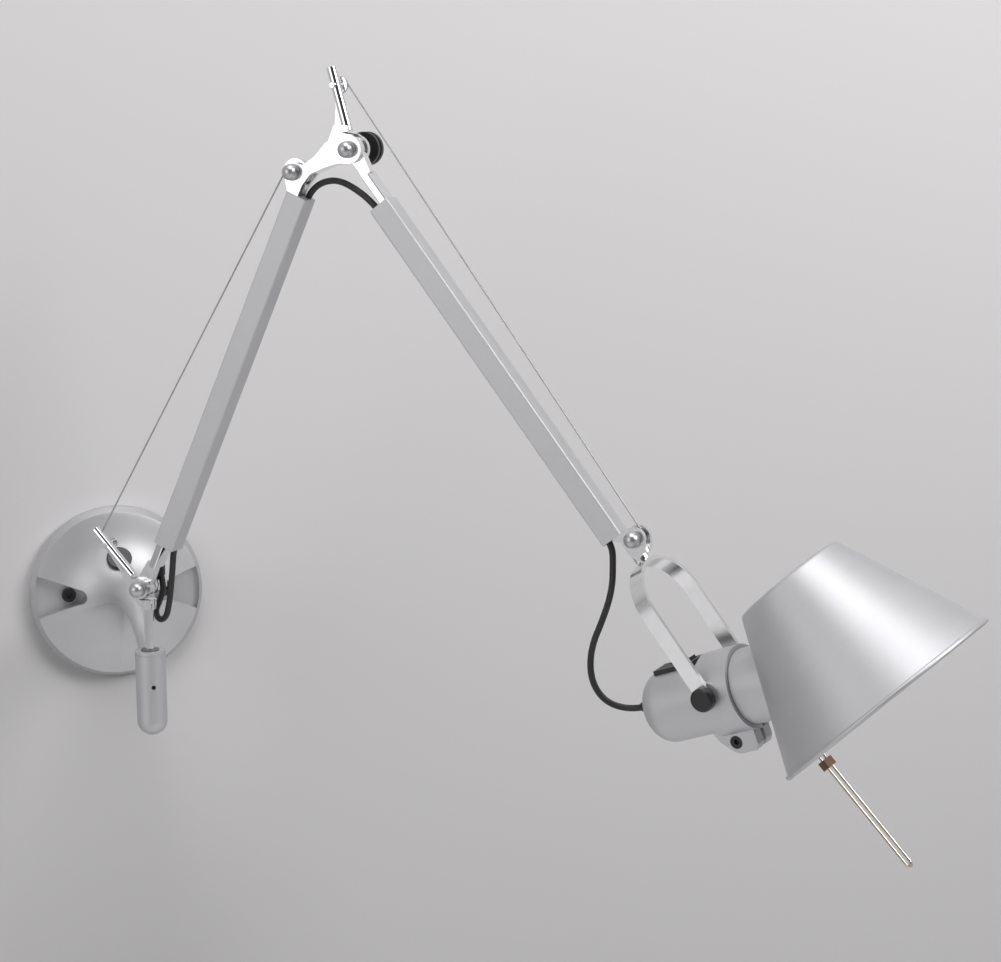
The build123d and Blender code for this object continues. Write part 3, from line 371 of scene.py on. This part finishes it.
finishes = {
    "satinSilver": satinSilver({
        "name": "satinSilver", "dark": (0.50, 0.50, 0.515), "light": (0.57, 0.57, 0.585), "metal": 0.85,
        "gloss": 0.52, "glossSpread": 0.08, "sparkle": 0.10, "cloudScale": 45, "grainScale": 2600,
        "grain": 0.35, "deep": 0.00012,
    }),
    "shadeSilver": spunSilver({
        "name": "shadeSilver", "centre": tuple(shadeFrame.translation), "turn": tuple(shadeFrame.to_euler()),
        "dark": (0.46, 0.46, 0.475), "light": (0.56, 0.56, 0.575), "metal": 0.9, "gloss": 0.52,
        "glossSpread": 0.10, "sparkle": 0.12, "ringsPerMetre": 320, "drift": 0.25, "ringDepth": 0.6,
        "cloudScale": 30, "grainScale": 2200, "grain": 0.3, "deep": 0.00012,
    }),
    "ballSilver": satinSilver({
        "name": "ballSilver", "dark": (0.42, 0.42, 0.43), "light": (0.50, 0.50, 0.51), "metal": 0.95,
        "gloss": 0.36, "glossSpread": 0.06, "sparkle": 0.10, "cloudScale": 200, "grainScale": 3000,
        "grain": 0.2, "deep": 0.00012,
    }),
    "wireSteel": polishedMetal({
        "name": "wireSteel", "dark": (0.46, 0.42, 0.37), "light": (0.62, 0.58, 0.52), "gloss": 0.22,
        "glossSpread": 0.08, "cloudScale": 120, "fineScale": 1200, "wave": 0.1,
    }),
    "polishedAlloy": polishedMetal({
        "name": "polishedAlloy", "dark": (0.74, 0.745, 0.75), "light": (0.84, 0.84, 0.845), "gloss": 0.22,
        "glossSpread": 0.08, "cloudScale": 160, "fineScale": 900, "wave": 0.15,
    }),
    "chromedSteel": polishedMetal({
        "name": "chromedSteel", "dark": (0.72, 0.73, 0.74), "light": (0.80, 0.80, 0.81), "gloss": 0.10,
        "glossSpread": 0.06, "cloudScale": 120, "fineScale": 1200, "wave": 0.05,
    }),
    "blackPlastic": mouldedPlastic({
        "name": "blackPlastic", "dark": (0.010, 0.010, 0.011), "light": (0.018, 0.018, 0.019), "gloss": 0.38,
        "glossSpread": 0.14, "grainScale": 1500, "grain": 0.25,
    }),
    "greyPlastic": mouldedPlastic({
        "name": "greyPlastic", "dark": (0.10, 0.10, 0.105), "light": (0.14, 0.14, 0.145), "gloss": 0.45,
        "glossSpread": 0.12, "grainScale": 1300, "grain": 0.3,
    }),
    "blackRubber": mouldedPlastic({
        "name": "blackRubber", "dark": (0.012, 0.012, 0.012), "light": (0.022, 0.022, 0.022), "gloss": 0.5,
        "glossSpread": 0.16, "grainScale": 1800, "grain": 0.35,
    }),
    "steelRope": polishedMetal({
        "name": "steelRope", "dark": (0.30, 0.30, 0.31), "light": (0.45, 0.45, 0.46), "gloss": 0.35,
        "glossSpread": 0.1, "cloudScale": 400, "fineScale": 2000, "wave": 0.4,
    }),
    "brownBlock": mouldedPlastic({
        "name": "brownBlock", "dark": (0.22, 0.12, 0.06), "light": (0.30, 0.17, 0.09), "gloss": 0.45,
        "glossSpread": 0.2, "grainScale": 900, "grain": 0.4,
    }),
    "whiteCeramic": mouldedPlastic({
        "name": "whiteCeramic", "dark": (0.72, 0.71, 0.67), "light": (0.80, 0.79, 0.75), "gloss": 0.3,
        "glossSpread": 0.1, "grainScale": 700, "grain": 0.15,
    }),
    "lampGlass": mouldedPlastic({
        "name": "lampGlass", "dark": (0.82, 0.82, 0.79), "light": (0.88, 0.88, 0.85), "gloss": 0.22,
        "glossSpread": 0.06, "grainScale": 500, "grain": 0.05,
    }),
}

wornBy = {
    "satinSilver": "wall_casting lower_tube upper_tube lower_end_caps upper_end_caps rear_housing shade_neck "
                   "clamp_ring",
    "shadeSilver": "shade",
    "polishedAlloy": "swivel_bracket lower_tongue elbow_casting upper_tongue end_fitting head_fork stem_ring "
                     "lower_anchor_pin upper_anchor_pin",
    "ballSilver": "lower_pulley_pin upper_pulley_pin lower_pivot_bolt elbow_bolt",
    "wireSteel": "hairpin_handle",
    "chromedSteel": "swivel_pin lower_lever_rod upper_lever_rod lower_foot_bar upper_foot_bar "
                    "lower_pivot_nut tilt_pins lower_pulley upper_pulley",
    "blackPlastic": "wall_screws cover_plug socket_set_screw fork_caps switch_frame switch_rocker "
                    "clamp_screw elbow_knob cable_hood",
    "greyPlastic": "socket_bush",
    "blackRubber": "cable_gland lower_tube_lead upper_tube_lead",
    "steelRope": "lower_rope_inner upper_rope_inner lower_spring upper_spring",
    "brownBlock": "hairpin_block hairpin_bracket",
    "whiteCeramic": "terminal_block lampholder",
    "lampGlass": "lamp",
}


def dress(piece, finish):
    piece.data.materials.clear()
    piece.data.materials.append(finishes[finish])


for finish, names in wornBy.items():
    for name in names.split():
        dress(nodes[name], finish)
for piece in leadPieces:
    dress(piece, "blackRubber")
for piece in ropePieces:
    dress(piece, "steelRope")
print("finishes given")


# wall and floor, seen from their front side only

roomLook = {
    "wall": (0.79, 0.775, 0.785), "wallBehind": 0.002, "floor": (0.79, 0.775, 0.785), "floorDown": -0.62,
    "half": 5.0,
}


def plainMatt(name, colour):
    r = Recipe(bpy.data.materials.new(name))
    rayKind = r.node("ShaderNodeLightPath", {}, {}, "Is Camera Ray")
    rayGloss = Wire(r, rayKind.socket.node.outputs["Is Glossy Ray"])
    behind = r.node("ShaderNodeNewGeometry", {}, {}, "Backfacing")
    seen = (rayKind + rayGloss) * (1 - behind)
    r.finish(Base_Color=(*colour, 1), Roughness=0.9, Specular_IOR_Level=0.1)
    clear = r.node("ShaderNodeBsdfTransparent", {}, {})
    paint = Wire(r, r.shader.outputs[0])
    mixed = r.node("ShaderNodeMixShader", {}, {0: seen, 1: clear, 2: paint})
    r.put(r.tree.nodes["Material Output"].inputs["Surface"], mixed)
    return r.holder


def makeRoom(look):
    half = look["half"]
    bpy.ops.mesh.primitive_plane_add(size=2 * half, location=(0, look["wallBehind"], 0),
                                     rotation=(math.radians(90), 0, 0))
    wall = bpy.context.object
    wall.name = "roomWall"
    wall.data.materials.append(plainMatt("wallPaint", look["wall"]))
    bpy.ops.mesh.primitive_plane_add(size=2 * half,
                                     location=(0, look["wallBehind"] - half, look["floorDown"]))
    floor = bpy.context.object
    floor.name = "roomFloor"
    floor.data.materials.append(plainMatt("floorPaint", look["floor"]))
    for piece in (wall, floor):
        piece.select_set(True)
        bpy.context.view_layer.objects.active = piece
        bpy.ops.object.transform_apply(location=True, rotation=True, scale=True)
        piece.select_set(False)


makeRoom(roomLook)

# three soft lamps round the middle of the object

lampTarget = (0.15, -0.2, 0.1)
lamps = {
    "keyRight": {"place": (1.5, -1.5, 1.3), "size": 1.1, "watts": 31},
    "fillLeft": {"place": (-1.7, -1.3, 0.6), "size": 1.4, "watts": 12},
    "topSoft": {"place": (0.1, -0.7, 1.9), "size": 1.2, "watts": 18},
}


def makeLamp(name, lamp, target):
    light = bpy.data.lights.new(name, "AREA")
    light.shape = "SQUARE"
    light.size = lamp["size"]
    light.energy = lamp["watts"]
    piece = bpy.data.objects.new(name, light)
    scene.collection.objects.link(piece)
    piece.location = lamp["place"]
    piece.rotation_euler = (Vector(target) - Vector(lamp["place"])).to_track_quat("-Z", "Y").to_euler()


for name, lamp in lamps.items():
    makeLamp(name, lamp, lampTarget)


# soft room light, dim in front of the object and pale to the camera

airLook = {
    "strength": 0.62, "below": 0.55, "above": 1.0, "backdrop": 1.0,
    "frontToWall": [(0.0, 0.10), (0.22, 0.14), (0.36, 0.75), (0.5, 1.0)],     # share of the way, brightness
}


def makeAir(look):
    r = Recipe(bpy.data.worlds.new("studioAir"))
    x, y, z = r.split(r.node("ShaderNodeTexCoord", {}, {}, "Generated"))
    inFront = r.tint((y + 1) * 0.5, [(spot, (level, level, level, 1)) for spot, level in look["frontToWall"]])
    upwards = look["below"] + (look["above"] - look["below"]) * (z + 1) * 0.5
    seen = r.node("ShaderNodeLightPath", {}, {}, "Is Camera Ray")
    r.finish(Color=inFront * upwards * (1 - seen) + seen * look["backdrop"], Strength=look["strength"])
    return r.holder


scene.world = makeAir(airLook)
scene.view_settings.view_transform = "Standard"
print("room and lights made")
